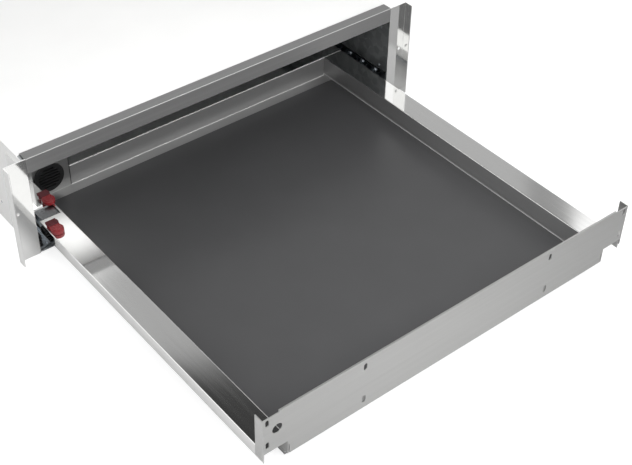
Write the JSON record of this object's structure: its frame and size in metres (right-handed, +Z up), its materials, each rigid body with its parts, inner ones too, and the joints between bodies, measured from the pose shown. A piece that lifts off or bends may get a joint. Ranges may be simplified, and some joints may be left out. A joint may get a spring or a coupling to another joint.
{
  "type": "built-in warming drawer",
  "caption": "Built-in warming drawer, pulled out: shallow sheet steel tray with a dark base plate on ball runners, in a low casing with a front frame and a fan heater behind.",
  "frame": {"origin": "middle of the casing's underside, in the plane of the cabinet's front edges (the back of the mounting brackets)", "axes": "+X to the right as seen from the room, +Y into the cabinet, +Z up"},
  "size_m": [0.595, 0.9982, 0.138],
  "materials": {
    "polished_steel": "polished stainless steel",
    "satin_steel": "satin stainless steel",
    "galvanised_sheet": "galvanised sheet",
    "rail_steel": "zinc plated",
    "cage_steel": "plain strip",
    "ball_steel": "polished",
    "screw_zinc": "zinc plated",
    "dark_coated_plate": "satin dark grey",
    "black_plastic": "moulded black",
    "red_plastic": "moulded red",
    "grey_plastic": "moulded grey",
    "red_button": "moulded red",
    "black_rubber": "moulded",
    "seal_silicone": "soft",
    "fan_aluminium": "die cast",
    "motor_black": "black",
    "heater_sheath": "oxidised",
    "switch_ceramic": "pale ceramic and phenolic"
  },
  "bodies": {
    "casing": {"front_beam": "satin_steel", "left_mounting_bracket": "polished_steel", "right_mounting_bracket": "polished_steel", "casing_floor": "galvanised_sheet", "casing_left_wall": "galvanised_sheet", "casing_right_wall": "galvanised_sheet", "casing_top": "galvanised_sheet", "casing_rear_panel": "galvanised_sheet", "casing_screws": "screw_zinc", "bracket_screws": "screw_zinc", "left_fixed_rail": "rail_steel", "right_fixed_rail": "rail_steel", "rail_screws": "screw_zinc", "runner_stops": "black_plastic", "rear_baffle": "galvanised_sheet", "port_seal": "seal_silicone", "rubber_buffers": "black_rubber", "fan_housing": "galvanised_sheet", "fan_motor": "motor_black", "air_duct": "galvanised_sheet", "heater_element": "heater_sheath", "thermostat": "switch_ceramic", "thermal_cutout": "switch_ceramic", "latch_body": "black_plastic", "door_switch_body": "black_plastic", "terminal_block": "switch_ceramic", "cable_gland": "black_plastic"},
    "drawer": {"drawer_tray": "polished_steel", "drawer_front_wall": "satin_steel", "base_plate": "dark_coated_plate", "rear_duct_box": "polished_steel", "air_port_grille": "black_plastic", "catch_pivots": "screw_zinc", "left_drawer_rail": "rail_steel", "right_drawer_rail": "rail_steel"},
    "left_middle_rail": {"left_mid_rail": "rail_steel"},
    "right_middle_rail": {"right_mid_rail": "rail_steel"},
    "left_lower_ball_cage": {"left_lower_cage": "cage_steel", "left_lower_balls": "ball_steel"},
    "right_lower_ball_cage": {"right_lower_cage": "cage_steel", "right_lower_balls": "ball_steel"},
    "left_upper_ball_cage": {"left_upper_cage": "cage_steel", "left_upper_balls": "ball_steel"},
    "right_upper_ball_cage": {"right_upper_cage": "cage_steel", "right_upper_balls": "ball_steel"},
    "front_turn_catch": {"front_catch": "red_plastic"},
    "rear_turn_catch": {"rear_catch": "red_plastic"},
    "fan_rotor": {"fan_impeller": "fan_aluminium", "fan_shaft": "screw_zinc"},
    "latch_pin": {"latch_plunger": "grey_plastic"},
    "door_switch_pin": {"door_switch_plunger": "red_button"}
  },
  "joints": [
    {"name": "drawer_slide", "type": "slide", "parent": "casing", "child": "drawer", "axis": [0, 1, 0], "range_m": [0, 0.413]},
    {"name": "left_middle_rail_slide", "type": "slide", "parent": "casing", "child": "left_middle_rail", "axis": [0, 1, 0], "range_m": [0, 0.2065]},
    {"name": "left_lower_cage_slide", "type": "slide", "parent": "casing", "child": "left_lower_ball_cage", "axis": [0, 1, 0], "range_m": [0, 0.10325]},
    {"name": "left_upper_cage_slide", "type": "slide", "parent": "casing", "child": "left_upper_ball_cage", "axis": [0, 1, 0], "range_m": [0, 0.30975]},
    {"name": "right_middle_rail_slide", "type": "slide", "parent": "casing", "child": "right_middle_rail", "axis": [0, 1, 0], "range_m": [0, 0.2065]},
    {"name": "right_lower_cage_slide", "type": "slide", "parent": "casing", "child": "right_lower_ball_cage", "axis": [0, 1, 0], "range_m": [0, 0.10325]},
    {"name": "right_upper_cage_slide", "type": "slide", "parent": "casing", "child": "right_upper_ball_cage", "axis": [0, 1, 0], "range_m": [0, 0.30975]},
    {"name": "front_catch_turn", "type": "hinge", "parent": "drawer", "child": "front_turn_catch", "pos_m": [-0.252, -0.0165, 0.038], "axis": [0, 0, 1], "range_deg": [-90, 0]},
    {"name": "rear_catch_turn", "type": "hinge", "parent": "drawer", "child": "rear_turn_catch", "pos_m": [-0.2335, 0.037, 0.038], "axis": [0, 0, 1], "range_deg": [-90, 0]},
    {"name": "fan_spin", "type": "hinge", "parent": "casing", "child": "fan_rotor", "pos_m": [-0.095, 0.54, 0.07], "axis": [0, 1, 0], "continuous": true},
    {"name": "latch_press", "type": "slide", "parent": "casing", "child": "latch_pin", "axis": [0, 1, 0], "range_m": [0, 0.003], "stiffness_N_per_m": 1500},
    {"name": "door_switch_press", "type": "slide", "parent": "casing", "child": "door_switch_pin", "axis": [0, 1, 0], "range_m": [0, 0.0025], "stiffness_N_per_m": 600}
  ],
  "couplings": [
    {"joint": "left_middle_rail_slide", "follows": "drawer_slide", "ratio": 0.5},
    {"joint": "left_lower_cage_slide", "follows": "drawer_slide", "ratio": 0.25},
    {"joint": "left_upper_cage_slide", "follows": "drawer_slide", "ratio": 0.75},
    {"joint": "right_middle_rail_slide", "follows": "drawer_slide", "ratio": 0.5},
    {"joint": "right_lower_cage_slide", "follows": "drawer_slide", "ratio": 0.25},
    {"joint": "right_upper_cage_slide", "follows": "drawer_slide", "ratio": 0.75}
  ]
}
